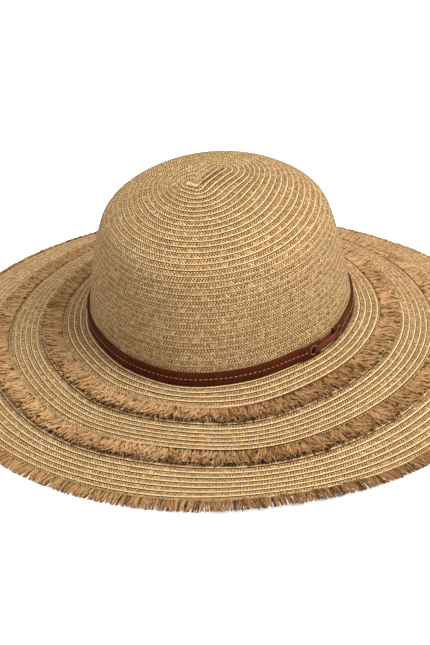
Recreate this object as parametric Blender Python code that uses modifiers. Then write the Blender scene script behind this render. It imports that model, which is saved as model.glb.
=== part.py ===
"""A wide-brimmed paper-straw sun hat: a domed crown, a sloping brim, three frayed fringes and a leather band.

The hat stands on its rim, with its front towards -Y and the wearer's left towards +X.
"""

import math
import random

import bmesh
import bpy
from mathutils import Vector

# Sizes in metres
HEAD_LENGTH = 0.1856  # inside the crown's base, front to back
HEAD_WIDTH = 0.1698  # inside the crown's base, side to side
CROWN_HEIGHT = 0.1040  # from the crown's base to its top
BRIM_DROP = 0.0311  # from the crown's base down to the tips of the outer fringe
STRAW_WALL = 0.0016  # the sewn straw of crown and brim

INNER_TIER = 0.0355  # in plan, from the crown's wall to the tips of the inner fringe
MIDDLE_TIER = 0.0382  # from those tips to the tips of the middle fringe
OUTER_TIER = 0.0293  # from those tips to the brim's sewn edge

FRINGE_HEAD = 0.0050  # the woven head of the inner and middle fringe
FRINGE_STRANDS = 0.0115  # their frayed strands
FRINGE_WALL = 0.0012  # how thick a woven head is
STRAND_TIP = 0.0008  # how thick the strands are at their tips
TIP_LIFT = 0.0006  # how far the strands' tips stand off the next tier
EDGE_LAP = 0.0040  # how far the outer fringe's head lies on the brim
EDGE_STRANDS = 0.0092  # how far its strands reach past the brim's edge, in plan
FOOT = 0.0022  # the flat underside of its tips, which the hat rests on

LINK_HEIGHT = 0.0050  # the narrow strap that joins the band's ends
LINK_WALL = 0.0010
HOLE_SLACK = 0.0005  # between a band hole and the link's edges
BAND_MARGIN = 0.0018  # leather left above and below a hole
HOLE_LIP = 0.0030  # leather left between a hole and the band's end
BAND_WALL = 0.0016
BAND_GAP = 0.0154  # between the band's two ends

SEAT = 0.0003  # clearance between pieces that touch
DENT = 0.0030  # the size that the dents table's shares are of

LINK_ANGLE = math.radians(2.0)  # the middle of the band's gap, from +X towards the back
BAND_RAMP = math.radians(6.0)  # over which the band comes off the crown, to make room for the link
TILT_SIDE = -0.039  # rise of the crown per metre towards the wearer's left
TILT_BACK = 0.071  # rise of the crown per metre towards the back
TOP_TO_SIDE = -0.0021  # how far the crown's top lies off its own axis, towards the wearer's left
TOP_TO_BACK = -0.0021  # and towards the back
RIM_TO_SIDE = 0.0019  # how far the rim's middle lies off the crown's, towards the wearer's left
RIM_TO_BACK = 0.0014  # and towards the back

CROWN_STEPS = 56
BRIM_STEPS = 64
BAND_STEPS = 72
LINK_STEPS = 40
HOLE_SIDES = 20

# The crown's outline, top to bottom, as shares of its height and of its radius at the base
CROWN_ROWS = [
    # height, radius
    (1.00, 0.000),
    (0.99, 0.165),
    (0.95, 0.370),
    (0.89, 0.556),
    (0.81, 0.725),
    (0.72, 0.843),
    (0.60, 0.895),
    (0.42, 0.938),
    (0.22, 0.975),
    (0.08, 0.996),
    (0.00, 1.000),
]

# How far the top of each tier's end lies below the crown's base, as shares of the brim's drop
BRIM_FALLS = {"wall": 0.0, "inner tips": 0.305, "middle tips": 0.669, "sewn edge": 0.81, "rim": 1.0}

# Where the hat is out of true. Angles run from +X towards the back, and the other columns are shares of DENT.
DENTS = [
    # angle, spread, crown out, rim out, brim up, rim up
    (-110, 14, -0.5, 0.0, 0.0, 0.0),
    (-95, 15, 0.0, 0.0, -0.6, 0.0),
    (-65, 16, 0.9, 0.0, 0.6, 0.0),
    (-40, 17, 0.0, 0.0, -0.6, 0.8),
    (-18, 15, -0.6, 0.0, 0.0, 0.0),
    (0, 17, 0.0, 0.0, 0.5, 0.0),
    (35, 17, 0.6, 0.0, 0.0, 0.0),
    (95, 20, 0.0, -1.5, 0.0, 0.0),
]

# The fringes' locks: how many, how long at the shortest, and how deep the notch between two locks is
LOCKS = {
    # name: locks, shortest, notch
    "fringe_inner": (36, 0.86, 0.58),
    "fringe_middle": (48, 0.88, 0.60),
    "fringe_outer": (60, 0.92, 0.60),
}
DENT_FADE = 0.5  # share of the crown's height over which its dents fade out
LOCK_SECTIONS = 3  # a notch, then the two corners of a lock's tip

HALF_LENGTH = HEAD_LENGTH / 2 + STRAW_WALL
HALF_WIDTH = HEAD_WIDTH / 2 + STRAW_WALL
ROUND = (HALF_LENGTH + HALF_WIDTH) / 2  # radius of the round hat that is then made oval
STEP = FRINGE_WALL + SEAT  # how far the brim steps down under a fringe
BRIM_REACH = INNER_TIER + MIDDLE_TIER + OUTER_TIER
RIM_REACH = BRIM_REACH + EDGE_STRANDS
FRINGE_DEPTH = FRINGE_HEAD + FRINGE_STRANDS
HOLE_RADIUS = LINK_HEIGHT / 2 + HOLE_SLACK
HOLE_INSET = HOLE_RADIUS + HOLE_LIP  # from a band end to the centre of its hole
BAND_HEIGHT = 2 * (HOLE_RADIUS + BAND_MARGIN)


def interpolate(rows, at):
    """The value at a place along rows of (place, value), which are in rising order."""
    for (start, low), (end, high) in zip(rows, rows[1:]):
        if at <= end:
            return low + (high - low) * (at - start) / (end - start)
    return rows[-1][1]


def crown_radius(height):
    """Radius of the round crown's outer face at a height over its base."""
    rows = [(up * CROWN_HEIGHT, share * ROUND) for up, share in reversed(CROWN_ROWS)]
    return interpolate(rows, max(height, 0.0))


def bump(angle, centre, spread):
    """A smooth hump of height 1 round the hat, with both angles of the table in degrees."""
    apart = math.remainder(angle - math.radians(centre), math.tau)
    return math.exp(-((apart / math.radians(spread)) ** 2))


def settle(angle, radius, height):
    """A point of the finished hat, from its place on a round, level, true one.

    The radius of a round crown is ROUND at its base, and the height is over the floor.
    """
    out = max(radius - ROUND, 0.0)
    share = min(out / BRIM_REACH, 1.0)
    inside = min(radius / ROUND, 1.0)
    above = max(height - BRIM_DROP, 0.0)
    fade = max(1.0 - above / (DENT_FADE * CROWN_HEIGHT), 0.0)
    for centre, spread, crown_out, rim_out, brim_up, rim_up in DENTS:
        size = DENT * bump(angle, centre, spread)
        out += size * (crown_out * (1 - share) * fade + rim_out * share**2)
        height += size * (brim_up * 4 * share * (1 - share) + rim_up * share**3)
    x = (HALF_WIDTH * inside + out) * math.cos(angle)
    y = (HALF_LENGTH * inside + out) * math.sin(angle)
    rise = (TILT_SIDE * x + TILT_BACK * y) * (1 - share)
    x += RIM_TO_SIDE * share + (TOP_TO_SIDE / CROWN_HEIGHT - TILT_SIDE) * above
    y += RIM_TO_BACK * share + (TOP_TO_BACK / CROWN_HEIGHT - TILT_BACK) * above
    return Vector((x, y, height + rise))


def brim_line(out):
    """Height of the top of the tiers over the floor, at a distance out from the crown's wall."""
    places = [0.0, INNER_TIER, INNER_TIER + MIDDLE_TIER, BRIM_REACH, RIM_REACH]
    rows = [(place, BRIM_DROP * (1 - fall)) for place, fall in zip(places, BRIM_FALLS.values())]
    return interpolate(rows, out)


def step_down(seat):
    """The brim's step where a fringe's head begins, as (out, height) rows."""
    return [(seat, brim_line(seat)), (seat + SEAT, brim_line(seat) - STEP)]


def brim_rows():
    """The brim's upper face as (out, height), from the head opening to the sewn edge."""
    rows = [(-STRAW_WALL, BRIM_DROP), (0.0, BRIM_DROP)]
    for tips in (INNER_TIER, INNER_TIER + MIDDLE_TIER):
        seat = tips - FRINGE_DEPTH
        rows += step_down(seat)
        rows.append((tips, brim_line(tips) - STRAND_TIP - TIP_LIFT - SEAT))
    rows += step_down(BRIM_REACH - EDGE_LAP)
    rows.append((BRIM_REACH, brim_line(BRIM_REACH) - STEP))
    return rows


def brim_top(out):
    return interpolate(brim_rows(), out)


def material(name, colour, roughness):
    made = bpy.data.materials.new(name)
    made.use_nodes = True
    shader = made.node_tree.nodes["Principled BSDF"]
    shader.inputs["Base Color"].default_value = (*colour, 1.0)
    shader.inputs["Roughness"].default_value = roughness
    shader.inputs["Metallic"].default_value = 0.0
    return made


def add_object(name, mesh, collection, look=None):
    obj = bpy.data.objects.new(name, mesh)
    collection.objects.link(obj)
    if look:
        mesh.materials.append(look)
        mesh.shade_smooth()
        mesh.set_sharp_from_angle(angle=math.radians(40))
    return obj


def spin(name, profile, steps, collection, closed=False, sweep=math.tau):
    """A profile of (radius, height) turned round the Z axis, as a mesh."""
    edges = [(row, row + 1) for row in range(len(profile) - 1)]
    if closed:
        edges.append((len(profile) - 1, 0))
    outline = bpy.data.meshes.new(name)
    outline.from_pydata([(radius, 0.0, height) for radius, height in profile], edges, [])
    turned = add_object(name, outline, collection)
    screw = turned.modifiers.new("turn", "SCREW")
    screw.angle = sweep
    screw.steps = screw.render_steps = steps
    screw.use_merge_vertices = True
    screw.merge_threshold = 0.00001
    graph = bpy.context.evaluated_depsgraph_get()
    mesh = bpy.data.meshes.new_from_object(turned.evaluated_get(graph))
    bpy.data.objects.remove(turned)
    bpy.data.meshes.remove(outline)
    mesh.name = name
    return mesh


def reshape(mesh, place):
    """Moves each vertex from its angle, radius and height on a round hat to where place puts it."""
    for vertex in mesh.vertices:
        x, y, height = vertex.co
        vertex.co = place(math.atan2(y, x) % math.tau, math.hypot(x, y), height)
    mesh.update()


def add_wall(obj, thickness, offset=-1.0):
    wall = obj.modifiers.new("wall", "SOLIDIFY")
    wall.thickness = thickness
    wall.offset = offset
    wall.use_even_offset = True


def make_crown(collection, look):
    base = BRIM_DROP + SEAT
    profile = [(share * ROUND, base + up * CROWN_HEIGHT) for up, share in CROWN_ROWS]
    mesh = spin("crown", profile, CROWN_STEPS, collection)
    reshape(mesh, settle)
    crown = add_object("crown", mesh, collection, look)
    add_wall(crown, STRAW_WALL)


def make_brim(collection, look):
    profile = [(ROUND + out, height) for out, height in brim_rows()]
    mesh = spin("brim", profile, BRIM_STEPS, collection)
    reshape(mesh, settle)
    brim = add_object("brim", mesh, collection, look)
    add_wall(brim, STRAW_WALL)


def fringe_profile(tips):
    """A woven head and its strands, lying in a step of the brim, as a closed (out, height) outline."""
    start = tips - FRINGE_DEPTH + 2 * SEAT
    root = tips - FRINGE_STRANDS
    bottom = [(out, brim_top(out) + SEAT) for out in (start, root)]
    under_tip = (tips, brim_top(tips) + SEAT + TIP_LIFT)
    top = [(out, height + FRINGE_WALL) for out, height in bottom]
    return root, [*top, (tips, under_tip[1] + STRAND_TIP), under_tip, *reversed(bottom)]


def edge_profile():
    """The outer fringe: its head lies on the brim's edge, and its strands fall to the floor."""
    start = BRIM_REACH - EDGE_LAP + 2 * SEAT
    root = BRIM_REACH + SEAT
    head_top = (start, brim_top(start) + SEAT + FRINGE_WALL)
    root_top = (root, brim_top(BRIM_REACH) + SEAT + FRINGE_WALL)
    bottom = [(RIM_REACH, 0.0), (RIM_REACH - FOOT, 0.0)]
    bottom += [(root, root_top[1] - FRINGE_WALL), (start, head_top[1] - FRINGE_WALL)]
    return root, [head_top, root_top, (RIM_REACH, STRAND_TIP), *bottom]


def lock_lengths(name, draw):
    """How far each section of a fringe reaches, as a share of the strands' length."""
    count, shortest, notch = LOCKS[name]
    lengths = []
    for _ in range(count):
        tip = draw.uniform(shortest, 1.0)
        lengths += [notch * draw.uniform(0.8, 1.2), tip, draw.uniform(shortest, 1.0)]
    return lengths


def make_fringe(name, shape, under, collection, look, draw):
    """A ring of locks on one head, whose strands lie along what under gives the height of.

    The tips of strands that hang past the brim rest on the floor, whatever their length.
    """
    root, outline = shape
    sections = LOCKS[name][0] * LOCK_SECTIONS
    lengths = lock_lengths(name, draw)
    on_floor = min(height for _, height in outline) == 0.0

    def place(angle, radius, height):
        out = radius - ROUND
        if out > root:
            section = round(angle * sections / math.tau) % sections
            shorter = root + (out - root) * lengths[section]
            if section % LOCK_SECTIONS == 0 or not on_floor:
                height += under(shorter) - under(out)
            out = shorter
        return settle(angle, ROUND + out, height)

    profile = [(ROUND + out, height) for out, height in outline]
    mesh = spin(name, profile, sections, collection, closed=True)
    reshape(mesh, place)
    add_object(name, mesh, collection, look)


def band_stand_off(angle):
    """How far the band lies off the crown: its ends make room for the link behind them."""
    apart = abs(math.remainder(angle - LINK_ANGLE, math.tau))
    free = (BAND_GAP / 2 + 2 * HOLE_INSET) / HALF_LENGTH
    ramp = min(max(1.0 - (apart - free) / BAND_RAMP, 0.0), 1.0)
    return SEAT + (LINK_WALL + SEAT) * (3 * ramp**2 - 2 * ramp**3)


def at_band(angle, out, up):
    """A point beside the band: out from the crown's face, and up from the band's lower edge."""
    lower_edge = BRIM_DROP + SEAT
    return settle(angle, crown_radius(up) + out, lower_edge + up)


def angle_from_link(along):
    """The angle at a distance along the crown's side from the middle of the band's gap."""
    return LINK_ANGLE + along / HALF_LENGTH


def make_band(collection, cutters, look):
    gap = BAND_GAP / HALF_LENGTH
    profile = [(ROUND, BAND_HEIGHT), (ROUND, 0.0)]
    mesh = spin("hat_band", profile, BAND_STEPS, collection, sweep=math.tau - gap)

    def place(angle, _, up):
        turned = LINK_ANGLE + gap / 2 + angle
        return at_band(turned, band_stand_off(turned) + BAND_WALL, up)

    reshape(mesh, place)
    band = add_object("hat_band", mesh, collection, look)
    add_wall(band, BAND_WALL)
    for side in (-1, 1):
        angle = angle_from_link(side * (BAND_GAP / 2 + HOLE_INSET))
        inner = at_band(angle, 0.0, BAND_HEIGHT / 2)
        outer = at_band(angle, 4 * BAND_WALL, BAND_HEIGHT / 2)
        cut_hole(band, inner, outer, cutters)


def cut_hole(obj, start, end, cutters):
    """A round hole through obj, along the line from start to end."""
    shape = bmesh.new()
    bmesh.ops.create_cone(shape, cap_ends=True, segments=HOLE_SIDES, radius1=HOLE_RADIUS,
                          radius2=HOLE_RADIUS, depth=(end - start).length)
    mesh = bpy.data.meshes.new("hole_cutter")
    shape.to_mesh(mesh)
    shape.free()
    cutter = add_object("hole_cutter", mesh, cutters)
    cutter.location = (start + end) / 2
    cutter.rotation_euler = (end - start).to_track_quat("Z", "Y").to_euler()
    cutter.hide_render = True
    cutter.display_type = "WIRE"
    cut = obj.modifiers.new("hole", "BOOLEAN")
    cut.operation = "DIFFERENCE"
    cut.object = cutter


def link_path():
    """The link's middle line as (along, out): over both band ends, through their holes and back."""
    bend = (LINK_WALL + BAND_WALL) / 2 + SEAT
    middle = SEAT + LINK_WALL + SEAT + BAND_WALL / 2
    lip = HOLE_INSET - (HOLE_RADIUS**2 - (LINK_HEIGHT / 2) ** 2) ** 0.5 + SEAT
    inside = ((bend - LINK_WALL / 2) ** 2 - (BAND_WALL / 2) ** 2) ** 0.5
    reach = BAND_GAP / 2 + lip - inside
    quarter = LINK_STEPS // 4
    path = []
    for side in (1, -1):
        for step in range(quarter):
            path.append((side * reach * (2 * step / quarter - 1), middle + side * bend))
        for step in range(quarter):
            turn = math.pi * step / quarter
            path.append((side * (reach + bend * math.sin(turn)), middle + side * bend * math.cos(turn)))
    return path


def make_link(collection, look):
    """A flat strap closed into a narrow loop."""
    shape = bmesh.new()
    low = BAND_HEIGHT / 2 - LINK_HEIGHT / 2
    places = [(angle_from_link(along), out) for along, out in link_path()]
    rings = [[shape.verts.new(at_band(angle, out, up)) for angle, out in places]
             for up in (low, low + LINK_HEIGHT)]
    for column in range(len(places)):
        after = (column + 1) % len(places)
        shape.faces.new((rings[0][after], rings[0][column], rings[1][column], rings[1][after]))
    bmesh.ops.recalc_face_normals(shape, faces=shape.faces)
    mesh = bpy.data.meshes.new("band_link")
    shape.to_mesh(mesh)
    shape.free()
    link = add_object("band_link", mesh, collection, look)
    add_wall(link, LINK_WALL, offset=0.0)


def centre_on_floor(collection):
    """Puts the origin on the floor under the middle of the whole hat."""
    graph = bpy.context.evaluated_depsgraph_get()
    corners = []
    for obj in collection.objects:
        solid = obj.evaluated_get(graph).to_mesh()
        corners += [vertex.co.copy() for vertex in solid.vertices]
    low = Vector([min(corner[axis] for corner in corners) for axis in range(3)])
    high = Vector([max(corner[axis] for corner in corners) for axis in range(3)])
    shift = Vector((-(low.x + high.x) / 2, -(low.y + high.y) / 2, -low.z))
    for obj in collection.objects:
        for vertex in obj.data.vertices:
            vertex.co += shift
    return shift


def main():
    for obj in list(bpy.data.objects):
        bpy.data.objects.remove(obj)
    parts = bpy.data.collections.new("sun_hat")
    cutters = bpy.data.collections.new("cutters")
    bpy.context.scene.collection.children.link(parts)
    bpy.context.scene.collection.children.link(cutters)
    straw = material("straw braid", (0.62, 0.42, 0.22), 0.75)
    frayed = material("frayed straw", (0.50, 0.30, 0.14), 0.8)
    leather = material("leather", (0.12, 0.03, 0.015), 0.45)
    draw = random.Random(5)

    make_crown(parts, straw)
    make_brim(parts, straw)
    make_fringe("fringe_inner", fringe_profile(INNER_TIER), brim_top, parts, frayed, draw)
    middle_tips = INNER_TIER + MIDDLE_TIER
    make_fringe("fringe_middle", fringe_profile(middle_tips), brim_top, parts, frayed, draw)
    make_fringe("fringe_outer", edge_profile(), brim_line, parts, frayed, draw)
    make_band(parts, cutters, leather)
    make_link(parts, leather)
    shift = centre_on_floor(parts)
    for cutter in cutters.objects:
        cutter.location += shift


main()
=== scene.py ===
import math

import bpy
import numpy as np
from mathutils import Matrix, Vector


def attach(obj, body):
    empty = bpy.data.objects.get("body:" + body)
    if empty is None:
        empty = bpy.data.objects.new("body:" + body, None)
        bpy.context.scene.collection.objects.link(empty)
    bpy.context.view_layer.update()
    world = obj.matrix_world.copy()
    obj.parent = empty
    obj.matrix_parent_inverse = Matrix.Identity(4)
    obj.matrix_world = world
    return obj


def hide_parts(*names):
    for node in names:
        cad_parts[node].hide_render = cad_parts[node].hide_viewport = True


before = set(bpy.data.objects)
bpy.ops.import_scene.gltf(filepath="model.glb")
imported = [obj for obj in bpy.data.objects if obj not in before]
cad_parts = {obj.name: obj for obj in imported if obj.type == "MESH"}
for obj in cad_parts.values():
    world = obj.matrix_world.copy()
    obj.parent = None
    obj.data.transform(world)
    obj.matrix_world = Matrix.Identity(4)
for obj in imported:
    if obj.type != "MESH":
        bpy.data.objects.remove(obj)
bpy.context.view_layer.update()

# the hat's own form, as the CAD has it
hat = {
    "headLength": 0.1856, "headWidth": 0.1698, "crownHeight": 0.1040, "brimDrop": 0.0311, "strawWall": 0.0016,
    "innerTips": 0.0355, "middleTips": 0.0737, "brimReach": 0.1030, "rimReach": 0.1122,
    "fringeHead": 0.0050, "fringeStrands": 0.0115, "fringeWall": 0.0012, "underTips": 0.0017,
    "seat": 0.0003, "dent": 0.0030, "dentFade": 0.5,
    "tilt": (-0.039, 0.071), "topShift": (-0.0021, -0.0021), "rimShift": (0.0019, 0.0014),
    "origin": (-0.00190, 0.00076, 0.0),        # where the crown's middle lies in the frame
}
crownRows = [(1.00, 0.000), (0.99, 0.165), (0.95, 0.370), (0.89, 0.556), (0.81, 0.725), (0.72, 0.843),
             (0.60, 0.895), (0.42, 0.938), (0.22, 0.975), (0.08, 0.996), (0.00, 1.000)]
brimFalls = [0.0, 0.305, 0.669, 0.81, 1.0]     # wall, inner tips, middle tips, sewn edge, rim
dents = [(-110, 14, -0.5, 0.0, 0.0, 0.0), (-95, 15, 0.0, 0.0, -0.6, 0.0), (-65, 16, 0.9, 0.0, 0.6, 0.0),
         (-40, 17, 0.0, 0.0, -0.6, 0.8), (-18, 15, -0.6, 0.0, 0.0, 0.0), (0, 17, 0.0, 0.0, 0.5, 0.0),
         (35, 17, 0.6, 0.0, 0.0, 0.0), (95, 20, 0.0, -1.5, 0.0, 0.0)]
halfLength = hat["headLength"] / 2 + hat["strawWall"]
halfWidth = hat["headWidth"] / 2 + hat["strawWall"]
roundRadius = (halfLength + halfWidth) / 2
crownBase = hat["brimDrop"] + hat["seat"]


def settle(angle, radius, height):             # a round, level hat's points put where the finished hat has them
    out = np.maximum(radius - roundRadius, 0.0)
    share = np.minimum(out / hat["brimReach"], 1.0)
    inside = np.minimum(radius / roundRadius, 1.0)
    above = np.maximum(height - hat["brimDrop"], 0.0)
    fade = np.maximum(1.0 - above / (hat["dentFade"] * hat["crownHeight"]), 0.0)
    for centre, spread, crownOut, rimOut, brimUp, rimUp in dents:
        apart = (angle - math.radians(centre) + math.pi) % math.tau - math.pi
        size = hat["dent"] * np.exp(-((apart / math.radians(spread)) ** 2))
        out = out + size * (crownOut * (1 - share) * fade + rimOut * share**2)
        height = height + size * (brimUp * 4 * share * (1 - share) + rimUp * share**3)
    x = (halfWidth * inside + out) * np.cos(angle)
    y = (halfLength * inside + out) * np.sin(angle)
    rise = (hat["tilt"][0] * x + hat["tilt"][1] * y) * (1 - share)
    x = x + hat["rimShift"][0] * share + (hat["topShift"][0] / hat["crownHeight"] - hat["tilt"][0]) * above
    y = y + hat["rimShift"][1] * share + (hat["topShift"][1] / hat["crownHeight"] - hat["tilt"][1]) * above
    return np.stack([x, y, height + rise], axis=-1) + np.array(hat["origin"])


def flow(places, values, at):                  # a smooth line through values at rising places
    places, values = np.asarray(places, float), np.asarray(values, float)
    slopes = np.gradient(values, places)
    i = np.clip(np.searchsorted(places, at) - 1, 0, len(places) - 2)
    step = places[i + 1] - places[i]
    q = (at - places[i]) / step
    return (values[i] * (2 * q**3 - 3 * q**2 + 1) + slopes[i] * step * (q**3 - 2 * q**2 + q)
            + values[i + 1] * (3 * q**2 - 2 * q**3) + slopes[i + 1] * step * (q**3 - q**2))


rowHeights = np.array([up * hat["crownHeight"] for up, _ in crownRows])
rowRadii = np.array([share * roundRadius for _, share in crownRows])
rowPlaces = np.concatenate([[0.0], np.cumsum(np.hypot(np.diff(rowHeights), np.diff(rowRadii)))])
meridian = rowPlaces[-1]                       # over the crown from its top to its base


def crownSide(down):                           # radius and height of the crown at a distance down from its top
    places = np.concatenate([[-rowPlaces[1]], rowPlaces])
    radius = flow(places, np.concatenate([[-rowRadii[1]], rowRadii]), down)
    height = flow(places, np.concatenate([[rowHeights[1]], rowHeights]), down)
    return radius, height


def onCrown(across, ahead, lift):              # a flat pattern of the crown laid over it, lift off its face
    down = np.hypot(across, ahead)
    angle = np.arctan2(ahead, across)
    radius, height = crownSide(down)
    nextRadius, nextHeight = crownSide(down + 0.0005)
    run, fall = nextRadius - radius, nextHeight - height
    size = np.hypot(run, fall)
    return settle(angle, np.maximum(radius - fall / size * lift, 0.0), crownBase + height + run / size * lift)


tierPlaces = [0.0, hat["innerTips"], hat["middleTips"], hat["brimReach"], hat["rimReach"]]
fringeDepth = hat["fringeHead"] + hat["fringeStrands"]
stepDown = hat["fringeWall"] + hat["seat"]


def brimLine(out):
    return np.interp(out, tierPlaces, [hat["brimDrop"] * (1 - fall) for fall in brimFalls])


def brimTopRows():
    rows = [(-hat["strawWall"], hat["brimDrop"]), (0.0, hat["brimDrop"])]
    for tips in (hat["innerTips"], hat["middleTips"]):
        start = tips - fringeDepth
        rows += [(start, brimLine(start)), (start + hat["seat"], brimLine(start) - stepDown)]
        rows.append((tips, brimLine(tips) - hat["underTips"]))
    return rows + [(hat["rimReach"], brimLine(hat["rimReach"]))]


def brimTop(out):
    rows = brimTopRows()
    return np.interp(out, [row[0] for row in rows], [row[1] for row in rows])


def deselect():
    if bpy.context.object and bpy.context.object.mode != "OBJECT":
        bpy.ops.object.mode_set(mode="OBJECT")
    bpy.ops.object.select_all(action="DESELECT")


def getPoints(obj):
    points = np.empty(len(obj.data.vertices) * 3)
    obj.data.vertices.foreach_get("co", points)
    return points.reshape(-1, 3)


def setPoints(obj, points):
    obj.data.vertices.foreach_set("co", np.asarray(points, np.float32).ravel())
    obj.data.update()


def nameIt(obj, name, look):
    obj.name = obj.data.name = name
    obj.data.materials.clear()
    obj.data.materials.append(look)
    return obj


def addStrip(name, steps, across, look, place):
    # a flat grid bent to place(along, across), both 0 to 1; place also says how far along each point is
    deselect()
    bpy.ops.mesh.primitive_grid_add(x_subdivisions=steps, y_subdivisions=across, size=1.0)
    strip = nameIt(bpy.context.object, name, look)
    flat = getPoints(strip)
    along, side = flat[:, 0] + 0.5, flat[:, 1] + 0.5
    points, length, side = place(along, side)
    setPoints(strip, points)
    loops = np.empty(len(strip.data.loops), int)
    strip.data.loops.foreach_get("vertex_index", loops)
    uv = np.stack([length[loops], side[loops]], axis=-1)
    strip.data.uv_layers[0].uv.foreach_set("vector", uv.astype(np.float32).ravel())
    bpy.ops.object.mode_set(mode="EDIT")
    bpy.ops.mesh.select_all(action="SELECT")
    bpy.ops.mesh.remove_doubles(threshold=0.00002)
    bpy.ops.object.mode_set(mode="OBJECT")
    return strip


def pick(obj):
    deselect()
    bpy.context.view_layer.objects.active = obj
    obj.select_set(True)


def turnFacesOut(obj):
    pick(obj)
    bpy.ops.object.mode_set(mode="EDIT")
    bpy.ops.mesh.select_all(action="SELECT")
    bpy.ops.mesh.normals_make_consistent(inside=False)
    bpy.ops.object.mode_set(mode="OBJECT")


def applyModifier(obj, kind, **settings):
    made = obj.modifiers.new(kind.lower(), kind)
    for key, value in settings.items():
        setattr(made, key, value)
    pick(obj)
    bpy.ops.object.modifier_apply(modifier=made.name)


def smooth(obj, degrees=45):
    pick(obj)
    bpy.ops.object.shade_smooth_by_angle(angle=math.radians(degrees))


def barMesh(name, rings, look, wind=1):        # rings as (bar, section, corner, xyz), made one mesh of closed bars
    # wind -1 lists each face's corners the other way round
    count, sections, sides = rings.shape[:3]
    index = np.arange(count * sections * sides).reshape(count, sections, sides)
    faces = []
    for corner in range(sides):
        after = (corner + 1) % sides
        faces += np.stack([index[:, :-1, corner], index[:, :-1, after], index[:, 1:, after],
                           index[:, 1:, corner]], axis=-1).reshape(-1, 4)[:, ::wind].tolist()
    faces += index[:, 0, ::-wind].tolist() + index[:, -1, ::wind].tolist()
    mesh = bpy.data.meshes.new(name)
    mesh.from_pydata(rings.reshape(-1, 3).tolist(), [], faces)
    piece = bpy.data.objects.new(name, mesh)
    bpy.context.scene.collection.objects.link(piece)
    return nameIt(piece, name, look)


def finishPiece(obj, slot, *nodes):
    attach(obj, "root")
    if nodes:
        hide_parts(*nodes)
    triangles = sum(len(face.vertices) - 2 for face in obj.data.polygons)
    print(f"{obj.name}: {triangles} triangles")


def ripple(draw, turns, size):                 # a gentle wander along a strip, in turns round the hat
    waves = [(draw.uniform(0.7, 9.0), draw.uniform(0, math.tau), draw.uniform(0.4, 1.0)) for _ in range(7)]
    total = sum(weight * np.sin(turns * math.tau * rate + phase) for rate, phase, weight in waves)
    return size * total / 3.0


class Wire:                                    # a socket that takes Python's operators
    def __init__(self, look, socket):
        self.look, self.socket = look, socket

    def math(self, operation, first, second=None):
        inputs = {0: first} if second is None else {0: first, 1: second}
        return self.look.node("ShaderNodeMath", {"operation": operation}, inputs)

    def __add__(self, other): return self.math("ADD", self, other)
    def __radd__(self, other): return self.math("ADD", other, self)
    def __sub__(self, other): return self.math("SUBTRACT", self, other)
    def __rsub__(self, other): return self.math("SUBTRACT", other, self)
    def __mul__(self, other): return self.math("MULTIPLY", self, other)
    def __rmul__(self, other): return self.math("MULTIPLY", other, self)
    def __truediv__(self, other): return self.math("DIVIDE", self, other)
    def __rtruediv__(self, other): return self.math("DIVIDE", other, self)
    def __abs__(self): return self.math("ABSOLUTE", self)
    def sine(self): return self.math("SINE", self)

    def ramp(self, low, high, fromValue=0.0, toValue=1.0):
        return self.look.node("ShaderNodeMapRange", {"interpolation_type": "SMOOTHSTEP"},
                              {0: self, 1: low, 2: high, 3: fromValue, 4: toValue})


class Look:                                    # one material and the nodes made for it
    def __init__(self, name, roughness=0.7, **sockets):
        self.material = bpy.data.materials.new(name)
        self.material.use_nodes = True
        self.tree = self.material.node_tree
        self.shader = self.tree.nodes["Principled BSDF"]
        self.shader.inputs["Roughness"].default_value = roughness
        for key, value in sockets.items():
            self.shader.inputs[key].default_value = value

    def node(self, kind, settings=None, inputs=None, output=0):
        made = self.tree.nodes.new(kind)
        for key, value in (settings or {}).items():
            setattr(made, key, value)
        for key, value in (inputs or {}).items():
            if isinstance(value, Wire):
                self.tree.links.new(value.socket, made.inputs[key])
            else:
                made.inputs[key].default_value = value
        return Wire(self, made.outputs[output])

    def place(self):                           # object coordinates
        return self.node("ShaderNodeTexCoord", output="Object")

    def uv(self):
        split = self.node("ShaderNodeSeparateXYZ", None, {0: self.node("ShaderNodeTexCoord", output="UV")})
        return split, Wire(self, split.socket.node.outputs[1])

    def attribute(self, name):
        return self.node("ShaderNodeAttribute", {"attribute_name": name}, output="Fac")

    def noise(self, scale, detail):
        return self.node("ShaderNodeTexNoise", None, {"Vector": self.place(), "Scale": scale, "Detail": detail})

    def blend(self, factor, first, second):
        def colour(value):
            return value if isinstance(value, Wire) else (*value, 1.0)
        return self.node("ShaderNodeMix", {"data_type": "RGBA"}, {0: factor, 6: colour(first), 7: colour(second)},
                         output=2)

    def feed(self, **wires):
        for key, wire in wires.items():
            self.tree.links.new(wire.socket, self.shader.inputs[key.replace("_", " ")])

    def bump(self, height, distance):
        return self.node("ShaderNodeBump", None, {"Height": height, "Distance": distance}, output="Normal")


# dark is painted shade for the braid's grooves, holes and the gap under each row; edge is a painted highlight along
# each row's outer edge
straw = {"light": (0.93, 0.645, 0.330), "mid": (0.52, 0.305, 0.118), "dark": (0.150, 0.060, 0.018),
         "edge": (0.84, 0.590, 0.310), "cell": 0.0019, "bump": 0.0009, "gloss": (1.0, 0.62, 0.32, 1.0)}


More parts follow.
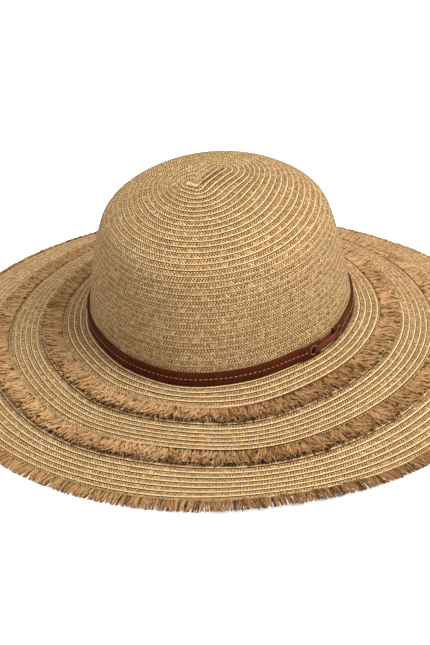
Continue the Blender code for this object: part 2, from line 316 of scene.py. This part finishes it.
def makeStrawLook(name):                       # plaited paper: slanted strands, a line of holes, a smooth edge; painted shade in the grooves, holes and under each row, and a painted highlight along each row's edge
    look = Look(name, roughness=0.62, **{"Specular IOR Level": 0.08, "Specular Tint": straw["gloss"]})
    along, across = look.uv()
    wander = look.noise(260.0, 2.0)
    cells = along / straw["cell"] + wander * 0.9
    middle = abs(across - 0.60)
    slant = across * 2.2
    ridge = ((cells + slant) * math.tau).sine()
    cross = ((cells - slant * 0.8) * math.tau).sine()
    plaited = across.ramp(0.96, 0.88)
    hole = middle.ramp(0.08, 0.26, 1.0, 0.0) * cross.ramp(0.2, -0.6) * wander.ramp(0.34, 0.50)
    fine = look.noise(900.0, 3.0)
    flake = look.noise(480.0, 2.0)
    patch = look.noise(45.0, 3.0)
    shade = (flake * 0.65 + fine * 0.35).ramp(0.40, 0.57)
    colour = look.blend(shade * plaited.ramp(0.0, 1.0, 0.5, 1.0) + (1 - plaited) * 0.5, straw["mid"], straw["light"])
    colour = look.blend(patch.ramp(0.4, 0.7, 0.0, 0.15), colour, straw["mid"])
    # painted highlight along each row's outer edge
    colour = look.blend(across.ramp(0.89, 0.96, 0.0, 0.4), colour, straw["edge"])
    # painted shade in the grooves between the plait's slanted ridges
    groove = ridge.ramp(0.0, -0.9, 0.0, 0.65) * plaited * flake.ramp(0.36, 0.53)
    colour = look.blend(groove, colour, straw["dark"])
    # painted shade in the plait's holes
    colour = look.blend(hole * 0.9, colour, straw["dark"])
    # painted shadow where each row dives under the edge of the row before it
    colour = look.blend(across.ramp(0.41, 0.29, 0.0, 0.92), colour, straw["dark"])
    # painted shade on each row's free edge
    colour = look.blend(across.ramp(0.975, 1.0, 0.0, 0.5), colour, straw["dark"])
    look.feed(Base_Color=colour, Roughness=0.6 + 0.2 * fine)
    height = (ridge * 0.5 + cross * 0.3 - hole) * plaited + fine * 0.4 + flake * 0.5
    look.feed(Normal=look.bump(height, straw["bump"]))
    return look.material


# dark is painted shade, for the lowest strands and the fringe head beneath them
frayed = {"light": (0.62, 0.395, 0.190), "mid": (0.27, 0.130, 0.044), "dark": (0.055, 0.018, 0.005)}


def makeFrayedLook():                          # loose paper strands: lower strands painted darker as painted shade, higher and lifted ones lighter as painted light, each with a random tone too
    look = Look("frayed straw", roughness=0.75, **{"Specular IOR Level": 0.05, "Specular Tint": straw["gloss"]})
    shadeAndTone = look.attribute("shadeAndTone")
    fine = look.noise(1500.0, 2.0)
    colour = look.blend((shadeAndTone * 0.9 + fine * 0.3).ramp(0.40, 0.85), frayed["mid"], frayed["light"])
    # painted shade on the lowest strands
    colour = look.blend(shadeAndTone.ramp(0.46, 0.22, 0.0, 0.9), colour, frayed["dark"])
    look.feed(Base_Color=colour, Normal=look.bump(fine, 0.0002))
    return look.material


def makeHeadLook():                            # the close woven head of a fringe, painted dark all over as the shade beneath its strands, with painted shade in the weave's grooves
    look = Look("fringe head", roughness=0.65, **{"Specular IOR Level": 0.3})
    along, across = look.uv()
    ridge = ((along / 0.0011 + across * 1.5) * math.tau).sine()
    weft = (across * math.tau * 4.0).sine()
    fine = look.noise(1100.0, 3.0)
    colour = look.blend(fine.ramp(0.3, 0.7), frayed["dark"], frayed["mid"])
    colour = look.blend(ridge.ramp(-0.1, -1.0, 0.0, 0.5), colour, frayed["dark"])
    look.feed(Base_Color=colour)
    look.feed(Normal=look.bump(ridge * 0.5 + weft * 0.3 + fine * 0.5, 0.0004))
    return look.material


leather = {                                    # each look's face and its worn places
    "band": ((0.068, 0.0120, 0.0030), (0.095, 0.020, 0.006)),
    "link": ((0.11, 0.030, 0.013), (0.16, 0.05, 0.022)),
    # these colours are for a painted highlight round the holes' bevelled edges
    "hole edge highlight": ((0.30, 0.14, 0.09), (0.42, 0.22, 0.15)),
}
thread = {"dark": (0.42, 0.22, 0.15), "light": (0.62, 0.38, 0.28)}


def makeLeatherLook(name, face, worn):
    look = Look(name, roughness=0.5, **{"Specular IOR Level": 0.06})
    pores = look.node("ShaderNodeTexVoronoi", {"feature": "F1"}, {"Vector": look.place(), "Scale": 1400.0})
    cloud = look.noise(90.0, 4.0)
    grain = look.noise(2500.0, 2.0)
    colour = look.blend(cloud.ramp(0.35, 0.75), face, worn)
    look.feed(Base_Color=colour, Roughness=0.42 + 0.2 * cloud)
    look.feed(Normal=look.bump(pores * 0.6 + grain * 0.5, 0.00012))
    return look.material


strawLook = makeStrawLook("straw braid")
frayedLook = makeFrayedLook()
headLook = makeHeadLook()
leatherLook = makeLeatherLook("band leather", *leather["band"])
linkLook = makeLeatherLook("link leather", *leather["link"])
print("materials made")

# the braid's cross-section runs from its inner edge to its outer one
braid = {
    "overlap": 0.33,                           # how much of a row lies under the one before, in rows
    "wall": 0.00085, "wander": 0.025,
    "section": [(0.00, -0.00110), (0.24, -0.00098), (0.32, -0.00050), (0.42, -0.00018), (0.65, -0.00002),
                (0.90, 0.00006), (0.97, -0.00002), (1.00, -0.00020)],  # share across, lift off the hat's face
}
acrossSteps = len(braid["section"]) - 1


def braidSection(side):                        # the grid's even steps across, put where the section has them
    index = np.rint(side * acrossSteps).astype(int)
    section = np.array(braid["section"])
    return section[index, 0], section[index, 1]


def lengthAlong(points, along):                # how far along a line of points each share of it lies
    steps = np.linalg.norm(np.diff(points, axis=0), axis=1)
    return np.interp(along, np.linspace(0, 1, len(points)), np.concatenate([[0.0], np.cumsum(steps)]))


crown = {"rows": 36.0, "stepsPerTurn": 110, "corner": (0.0003, -0.0163), "arms": [(179.0, 0.0090), (92.0, 0.0270)],
         "fade": 1.5, "crowd": 2.0, "crowdSpread": 0.35, "bulge": 7, "ovalFrom": 0.003, "ovalOver": 0.032,
         "startAngle": -60.0, "seed": 11}


def armReach(angle, width, turn, length):      # from an arm's start to its outline, width off the arm
    apart = np.abs((angle - turn + math.pi) % math.tau - math.pi)
    sine, along = np.maximum(np.sin(apart), 1e-6), np.cos(apart)
    onSide = width / sine
    onEnd = length * along + np.sqrt(np.maximum(width**2 - (length * sine) ** 2, 0.0))
    return np.where(apart > math.pi / 2, width, np.where(onSide * along < length, onSide, onEnd))


def crownPattern(turns, row, lift):            # rows round a bent run, which fades to ovals
    fade = (1 - row / crown["rows"]) ** crown["fade"]
    width = np.maximum(row / crown["rows"] * meridian, 1e-5)
    laps = np.linspace(0, math.tau, 721)
    crowd = np.ones_like(laps)
    for degrees, _ in crown["arms"]:
        apart = (laps - math.radians(degrees) + math.pi) % math.tau - math.pi
        crowd = crowd + crown["crowd"] * np.exp(-((apart / crown["crowdSpread"]) ** 2))
    passed = np.concatenate([[0.0], np.cumsum((crowd[1:] + crowd[:-1]) / 2)])
    passed = passed / passed[-1]
    start = np.interp(math.radians(crown["startAngle"] % 360), laps, passed)
    angle = np.interp((start - turns) % 1.0, passed, laps)
    reach = np.max([armReach(angle, width, math.radians(degrees), length * fade)
                    for degrees, length in crown["arms"]], axis=0)
    smoothed = width + sum(length * fade * ((1 + np.cos(angle - math.radians(degrees))) / 2) ** crown["bulge"]
                           for degrees, length in crown["arms"])
    oval = np.clip((width - crown["ovalFrom"]) / crown["ovalOver"], 0.0, 1.0)
    oval = oval * oval * (3 - 2 * oval)
    reach = reach * (1 - oval) + smoothed * oval
    across = crown["corner"][0] * fade + reach * np.cos(angle)
    ahead = crown["corner"][1] * fade + reach * np.sin(angle)
    return onCrown(across, ahead, lift)


def makeCrown():
    draw = np.random.default_rng(crown["seed"])
    turnsInAll = crown["rows"] + 1.0
    steps = int(turnsInAll * crown["stepsPerTurn"])

    def place(along, side):
        turns = along * turnsInAll
        across, lift = braidSection(side)
        row = turns - 1.0 - braid["overlap"] + across * (1 + braid["overlap"]) + ripple(draw, turns, braid["wander"])
        row = np.clip(row, 0.0, crown["rows"])
        middleTurns = np.linspace(0, turnsInAll, steps + 1)
        middle = crownPattern(middleTurns, np.clip(middleTurns - 0.5, 0.0, crown["rows"]), 0.0)
        lift = lift * np.clip(row, 0.2, 1.0)
        shown = 0.55 * np.clip((1.4 - turns) / 0.3, 0.0, 1.0)  # the first lap lies open, so it gets no painted shadow of a row before it
        return crownPattern(turns, row, lift), lengthAlong(middle, along), np.maximum(across, shown)

    piece = addStrip("crownBraid", steps, acrossSteps, strawLook, place)
    applyModifier(piece, "SOLIDIFY", thickness=braid["wall"], offset=-1.0)
    smooth(piece)
    finishPiece(piece, "straw", "crown")


makeCrown()

brim = {
    "turns": [-1, 0, 4, 8, 13, 17, 22, 23, 24],  # row counts at the front, and how far out their edges are
    "edges": [-0.0018, 0.0024, 0.0193, 0.0377, 0.0572, 0.0768, 0.1010, 0.1048, 0.1090],
    "startAngle": -55.0, "inner": -0.0013, "outer": 0.1040, "stepsPerTurn": 150, "seed": 12,
}


def brimPattern(turns, row, lift):
    out = np.clip(np.interp(row, brim["turns"], brim["edges"]), brim["inner"], brim["outer"])
    angle = math.radians(brim["startAngle"]) - turns * math.tau
    return settle(angle, roundRadius + out, brimTop(out) + lift)


def makeBrim():
    draw = np.random.default_rng(brim["seed"])
    first, last = -1.0, 24.0
    steps = int((last - first) * brim["stepsPerTurn"])

    def place(along, side):
        turns = first + along * (last - first)
        across, lift = braidSection(side)
        row = turns - 1.0 - braid["overlap"] + across * (1 + braid["overlap"]) + ripple(draw, turns, braid["wander"])
        middleTurns = np.linspace(first, last, steps + 1)
        middle = brimPattern(middleTurns, middleTurns - 0.5, 0.0)
        return brimPattern(turns, row, lift), lengthAlong(middle, along), across

    piece = addStrip("brimBraid", steps, acrossSteps, strawLook, place)
    applyModifier(piece, "SOLIDIFY", thickness=braid["wall"], offset=-1.0)
    smooth(piece)
    finishPiece(piece, "straw", "brim")


makeBrim()

fringes = {
    # tips, strands, lift at the tip, sideways lean, seed, its CAD node
    "innerFringe": {"tips": 0.0355, "count": 4300, "lift": 0.0040, "lean": 0.0036, "seed": 21,
                    "node": "fringe_inner"},
    "middleFringe": {"tips": 0.0737, "count": 5700, "lift": 0.0036, "lean": 0.0034, "seed": 22,
                     "node": "fringe_middle"},
}
strand = {"width": 0.00084, "thick": 0.00080, "sections": 5, "wave": 0.0009, "lowest": 0.0001, "inset": 0.0007,
          "rootSpread": 0.0060, "shortest": 0.0070, "longest": 0.0135, "ragged": 0.0035}
head = {"dome": 0.35, "wall": 0.0003, "steps": 200, "across": 8, "weaveLength": 0.75}


def strandMesh(name, angle, out, side, height, widths, thick, shadeAndTone):
    # arrays of (strand, section), made one mesh of three-sided strands
    corners = []
    for shift, up in ((-0.5, 0.0), (0.5, 0.0), (0.0, 1.0)):
        turned = angle[:, None] + (side + shift * widths) / (roundRadius + out)
        tall = np.maximum(height + up * thick, strand["lowest"])
        corners.append(settle(turned, roundRadius + out, tall))
    rings = np.stack(corners, axis=2)
    piece = barMesh(name, rings, frayedLook, -1)
    values = np.repeat(shadeAndTone, rings.shape[1] * rings.shape[2]).astype(np.float32)
    piece.data.attributes.new("shadeAndTone", "FLOAT", "POINT").data.foreach_set("value", values)
    return piece


def leanOfLocks(draw, angle, size):            # neighbours lean together
    total = 0
    for _ in range(9):
        total = total + np.sin(angle * draw.integers(11, 75) + draw.uniform(0, math.tau))
    return size * total / 2.4


def makeFringe(name, values):
    draw = np.random.default_rng(values["seed"])
    count, tips = values["count"], values["tips"]
    start = tips - fringeDepth + strand["inset"]
    angle = (np.arange(count) + draw.uniform(0, 1, count)) / count * math.tau
    layer = draw.uniform(0.0, 1.0, count)
    rootOut = start + strand["rootSpread"] * draw.uniform(0.0, 1.0, count) ** 1.2
    tipOut = np.minimum(rootOut + draw.uniform(strand["shortest"], strand["longest"], count),
                        tips - draw.uniform(0, strand["ragged"], count))
    lift = values["lift"] * draw.uniform(0.0, 1.0, count) ** 1.2
    lean = draw.normal(0, values["lean"] * 0.75, count) + leanOfLocks(draw, angle, values["lean"] * 0.5)
    wave, phase = draw.uniform(-1, 1, count) * strand["wave"], draw.uniform(0, math.tau, count)
    q = np.linspace(0, 1, strand["sections"])[None, :]
    out = rootOut[:, None] + (tipOut - rootOut)[:, None] * q
    side = lean[:, None] * q**1.2 + wave[:, None] * np.sin(q * 7.0 + phase[:, None]) * q**0.5
    ground = brimTop(out) + hat["seat"]
    rootUp = 0.0001 + 0.0007 * layer
    height = ground + rootUp[:, None] + 0.0004 * layer[:, None] * q + lift[:, None] * q**1.4
    height = height + 0.0004 * np.sin(q * 6.0 + 3 * phase[:, None]) * q
    widths = strand["width"] * draw.uniform(0.65, 1.2, count)[:, None] * (1.0 - 0.45 * q**2)
    # low strands get painted shade and lifted ones painted light, and each a random tone too
    shadeAndTone = 0.45 * layer + 0.20 * lift / values["lift"] + 0.3 * draw.uniform(0, 1, count)
    piece = strandMesh(name, angle, out, side, height, widths, strand["thick"] * (1 - 0.4 * q), shadeAndTone)
    finishPiece(piece, "frayed_straw", values["node"])


def makeHead(name, start, end):                # the woven strip that holds a fringe's strands
    def place(along, side):
        angle = -along * math.tau
        out = start + (end - start) * side
        dome = hat["fringeWall"] * np.sqrt(np.maximum(1 - (2 * side - 1) ** 4, 0.0)) * head["dome"]
        return settle(angle, roundRadius + out, brimTop(out) + hat["seat"] + dome), along * head["weaveLength"], side

    piece = addStrip(name, head["steps"], head["across"], headLook, place)
    applyModifier(piece, "SOLIDIFY", thickness=head["wall"], offset=-1.0)
    smooth(piece)
    finishPiece(piece, "straw")


edge = {"count": 5200, "seed": 23, "short": 0.86, "lean": 0.0013, "wave": 0.0005, "curl": 0.0002, "tuck": 0.0004,
        "under": 0.0016, "lowest": 0.0002, "arch": 0.0005, "depth": 0.0010, "frontLonger": 0.0032, "frontAngle": -52.0}


def makeEdgeFringe():
    draw = np.random.default_rng(edge["seed"])
    count = edge["count"]
    root = hat["brimReach"] - edge["tuck"]
    angle = (np.arange(count) + draw.uniform(0, 1, count)) / count * math.tau
    reach = hat["rimReach"] + edge["frontLonger"] * np.cos(angle - math.radians(edge["frontAngle"]))
    length = (reach - root) * draw.uniform(edge["short"], 1.0, count)
    layer = draw.uniform(0.0, 1.0, count)
    lean = draw.normal(0, edge["lean"], count) + leanOfLocks(draw, angle, edge["lean"] * 0.7)
    wave, phase = draw.uniform(-1, 1, count) * edge["wave"], draw.uniform(0, math.tau, count)
    q = np.linspace(0, 1, strand["sections"])[None, :]
    out = root + length[:, None] * q
    side = lean[:, None] * q**1.2 + wave[:, None] * np.sin(q * 7.0 + phase[:, None]) * q**0.5
    height = np.maximum(brimTop(out) - edge["under"], edge["lowest"]) + edge["arch"] * np.sin(q * math.pi)
    height = height + edge["depth"] * layer[:, None] * (0.3 + 0.7 * np.minimum(q * 4, 1.0))
    height = height + edge["curl"] * np.sin(q * 7.0 + 3 * phase[:, None]) * q
    widths = strand["width"] * draw.uniform(0.6, 1.1, count)[:, None] * (1.0 - 0.4 * q**2)
    # low strands get painted shade, and each a random tone too
    shadeAndTone = 0.50 * layer + 0.20 * draw.uniform(0, 1, count)
    piece = strandMesh("edgeFringe", angle, out, side, height, widths, strand["thick"] * (1 - 0.4 * q), shadeAndTone)
    finishPiece(piece, "frayed_straw", "fringe_outer")


for fringeName, fringeValues in fringes.items():
    makeFringe(fringeName, fringeValues)
    headStart = fringeValues["tips"] - fringeDepth + 2 * hat["seat"]
    makeHead(fringeName + "Head", headStart, headStart + hat["fringeHead"])
makeEdgeFringe()

band = {
    "height": 0.0096, "wall": 0.0016, "gap": 0.0154, "linkAngle": 2.0, "ramp": 6.0,
    "holeRadius": 0.0033, "holeInset": 0.0064, "steps": 260, "bevel": 0.00035,
    "stitchLength": 0.0026, "stitchGap": 0.0006, "stitchThick": 0.00020, "stitchHeight": 0.0050,
    "stitchEnds": 0.0016, "rimThick": 0.00026, "girth": 0.56,
}
link = {"height": 0.0050, "wall": 0.0008, "steps": 80, "bevel": 0.0003, "length": 0.07}


def bandStandOff(angle):
    apart = np.abs((angle - math.radians(band["linkAngle"]) + math.pi) % math.tau - math.pi)
    free = (band["gap"] / 2 + 2 * band["holeInset"]) / halfLength
    ramp = np.clip(1.0 - (apart - free) / math.radians(band["ramp"]), 0.0, 1.0)
    return hat["seat"] + (link["wall"] + hat["seat"]) * (3 * ramp**2 - 2 * ramp**3)


def atBand(angle, out, up):
    heights, radii = rowHeights[::-1], rowRadii[::-1]
    return settle(angle, np.interp(up, heights, radii) + out, crownBase + up)


def angleFromLink(along):
    return math.radians(band["linkAngle"]) + along / halfLength


def makeBand():
    gap = band["gap"] / halfLength

    def place(along, side):
        angle = math.radians(band["linkAngle"]) - gap / 2 - along * (math.tau - gap)
        up = band["height"] * (1 - side)
        points = atBand(angle, bandStandOff(angle) + band["wall"], up)
        return points, along * band["girth"], side

    piece = addStrip("leatherBand", band["steps"], 4, leatherLook, place)
    applyModifier(piece, "SOLIDIFY", thickness=band["wall"], offset=-1.0)
    for side in (-1, 1):
        angle = angleFromLink(side * (band["gap"] / 2 + band["holeInset"]))
        inner = Vector(atBand(angle, -0.002, band["height"] / 2))
        outer = Vector(atBand(angle, 0.008, band["height"] / 2))
        deselect()
        bpy.ops.mesh.primitive_cylinder_add(vertices=28, radius=band["holeRadius"], depth=(outer - inner).length,
                                            location=(inner + outer) / 2,
                                            rotation=(outer - inner).to_track_quat("Z", "Y").to_euler())
        cutter = bpy.context.object
        applyModifier(piece, "BOOLEAN", operation="DIFFERENCE", object=cutter, solver="EXACT")
        bpy.data.objects.remove(cutter)
    applyModifier(piece, "BEVEL", width=band["bevel"], segments=2, limit_method="ANGLE",
                  angle_limit=math.radians(50))
    smooth(piece, 35)
    finishPiece(piece, "leather", "hat_band")


makeBand()


def makeHoleEdgeHighlights():                            # a pale ring round each hole, a painted highlight on its bevelled edge
    rims = []
    for side in (-1, 1):
        angle = angleFromLink(side * (band["gap"] / 2 + band["holeInset"]))
        face = Vector(atBand(angle, bandStandOff(angle) + band["wall"], band["height"] / 2))
        inner = Vector(atBand(angle, -0.002, band["height"] / 2))
        bpy.ops.mesh.primitive_torus_add(major_segments=40, minor_segments=8, major_radius=band["holeRadius"],
                                         minor_radius=band["rimThick"], location=face,
                                         rotation=(face - inner).to_track_quat("Z", "Y").to_euler())
        rims.append(bpy.context.object)
    deselect()
    for rim in rims:
        rim.select_set(True)
    bpy.context.view_layer.objects.active = rims[0]
    bpy.ops.object.join()
    bpy.ops.object.transform_apply(location=True, rotation=True, scale=True)
    piece = nameIt(bpy.context.object, "holeEdgeHighlights", makeLeatherLook("hole edge highlight", *leather["hole edge highlight"]))
    smooth(piece, 60)
    finishPiece(piece, "leather")


makeHoleEdgeHighlights()


def makeStitches():                            # one line of thread round the band, between its holes
    pitch = band["stitchLength"] + band["stitchGap"]
    start = angleFromLink(band["gap"] / 2 + 2 * band["holeInset"] - band["stitchEnds"])
    end = angleFromLink(-band["gap"] / 2 - 2 * band["holeInset"] + band["stitchEnds"]) + math.tau
    count = int((end - start) * halfLength * 0.955 / pitch)
    angles = start + (end - start) * (np.arange(count) + 0.5) / count
    q = np.linspace(-1, 1, 5)
    half = band["stitchLength"] / 2 / halfLength
    rings = []
    for turn in np.linspace(0, math.tau, 6, endpoint=False):
        thick = band["stitchThick"] * np.sqrt(np.maximum(1 - np.abs(q) ** 3, 0.05))
        angle = angles[:, None] + half * q[None, :]
        up = band["stitchHeight"] + thick[None, :] * math.cos(turn) + 0 * angle
        out = (bandStandOff(angle) + band["wall"] + 0.00005 - 0.0002 * np.abs(q[None, :]) ** 3
               + thick[None, :] * math.sin(turn) * 0.8)
        rings.append(atBand(angle, out, up))
    look = Look("stitch thread", roughness=0.6)
    look.feed(Base_Color=look.blend(look.noise(2500.0, 2.0), thread["dark"], thread["light"]))
    piece = barMesh("bandStitches", np.stack(rings, axis=2), look.material)
    turnFacesOut(piece)
    smooth(piece, 60)
    finishPiece(piece, "leather")


makeStitches()


def linkPath():                                # the link's middle line as (along, out)
    bend = (link["wall"] + band["wall"]) / 2 + hat["seat"]
    middle = hat["seat"] + link["wall"] + hat["seat"] + band["wall"] / 2
    lip = band["holeInset"] - (band["holeRadius"] ** 2 - (link["height"] / 2) ** 2) ** 0.5 + hat["seat"]
    inside = ((bend - link["wall"] / 2) ** 2 - (band["wall"] / 2) ** 2) ** 0.5
    reach = band["gap"] / 2 + lip - inside
    path = []
    for side in (1, -1):
        path += [(side * reach * (2 * q - 1), middle + side * bend) for q in np.linspace(0, 1, 20, endpoint=False)]
        path += [(side * (reach + bend * math.sin(turn)), middle + side * bend * math.cos(turn))
                 for turn in np.linspace(0, math.pi, 20, endpoint=False)]
    return np.array(path)


def makeLink():
    path = linkPath()

    def place(along, side):
        index = np.rint(along * link["steps"]).astype(int) % link["steps"]
        low = band["height"] / 2 - link["height"] / 2
        angle = math.radians(band["linkAngle"]) + path[index, 0] / halfLength
        return atBand(angle, path[index, 1], low + link["height"] * (1 - side)), along * link["length"], side

    piece = addStrip("bandLink", link["steps"], 3, linkLook, place)
    turnFacesOut(piece)
    applyModifier(piece, "SOLIDIFY", thickness=link["wall"], offset=0.0)
    applyModifier(piece, "BEVEL", width=link["bevel"], segments=2, limit_method="ANGLE",
                  angle_limit=math.radians(50))
    smooth(piece, 40)
    finishPiece(piece, "leather", "band_link")


makeLink()
print("pieces made")

studio = {"floor": (0.90, 0.90, 0.90), "glow": 0.62, "world": 0.26, "key": 47.0, "top": 35.0}
deselect()
bpy.ops.mesh.primitive_plane_add(size=30.0, location=(0, 0, -0.0002))
floor = bpy.context.object
floorLook = Look("pale floor", roughness=0.9, **{"Emission Color": (1, 1, 1, 1), "Emission Strength": studio["glow"],
                                                 "Base Color": (*studio["floor"], 1)})
nameIt(floor, "floor", floorLook.material)

world = bpy.data.worlds.new("studio")
bpy.context.scene.world = world
world.use_nodes = True
world.node_tree.nodes["Background"].inputs["Color"].default_value = (1, 1, 1, 1)
world.node_tree.nodes["Background"].inputs["Strength"].default_value = studio["world"]


def addLight(name, place, aim, size, power):
    data = bpy.data.lights.new(name, "AREA")
    data.size, data.energy = size, power
    lamp = bpy.data.objects.new(name, data)
    bpy.context.scene.collection.objects.link(lamp)
    lamp.location = place
    lamp.rotation_euler = (Vector(aim) - Vector(place)).to_track_quat("-Z", "Y").to_euler()


addLight("key", (1.15, 0.25, 1.75), (0, 0, 0.05), 0.9, studio["key"])
addLight("top", (-0.15, -0.1, 2.1), (0, 0, 0.05), 2.2, studio["top"])
bpy.context.scene.view_settings.view_transform = "Standard"

shot = {"azimuth": 38.0, "elevation": 28.28, "distance": 1.4, "focal": 2042.0, "target": (220.1, 268.5),
        "roll": -0.2, "aimHeight": 0.06, "frame": (430, 645)}


def addCamera():
    azimuth, elevation = math.radians(shot["azimuth"]), math.radians(shot["elevation"])
    ahead = Vector((-math.sin(azimuth) * math.cos(elevation), math.cos(azimuth) * math.cos(elevation),
                    -math.sin(elevation)))
    target = Vector(hat["origin"]) + Vector((0, 0, shot["aimHeight"]))
    data = bpy.data.cameras.new("camera")
    data.sensor_width = 36.0
    data.lens = shot["focal"] / shot["frame"][1] * data.sensor_width
    data.clip_start, data.clip_end = 0.05, 100.0
    camera = bpy.data.objects.new("camera", data)
    bpy.context.scene.collection.objects.link(camera)
    turn = ahead.to_track_quat("-Z", "Y").to_matrix() @ Matrix.Rotation(math.radians(shot["roll"]), 3, "Z")
    sideways = math.atan((shot["target"][0] - shot["frame"][0] / 2) / shot["focal"])
    down = math.atan((shot["frame"][1] / 2 - shot["target"][1]) / shot["focal"])
    turn = turn @ Matrix.Rotation(sideways, 3, "Y") @ Matrix.Rotation(-down, 3, "X")
    camera.matrix_world = Matrix.Translation(target - ahead * shot["distance"]) @ turn.to_4x4()
    bpy.context.scene.camera = camera


addCamera()
print("studio made")
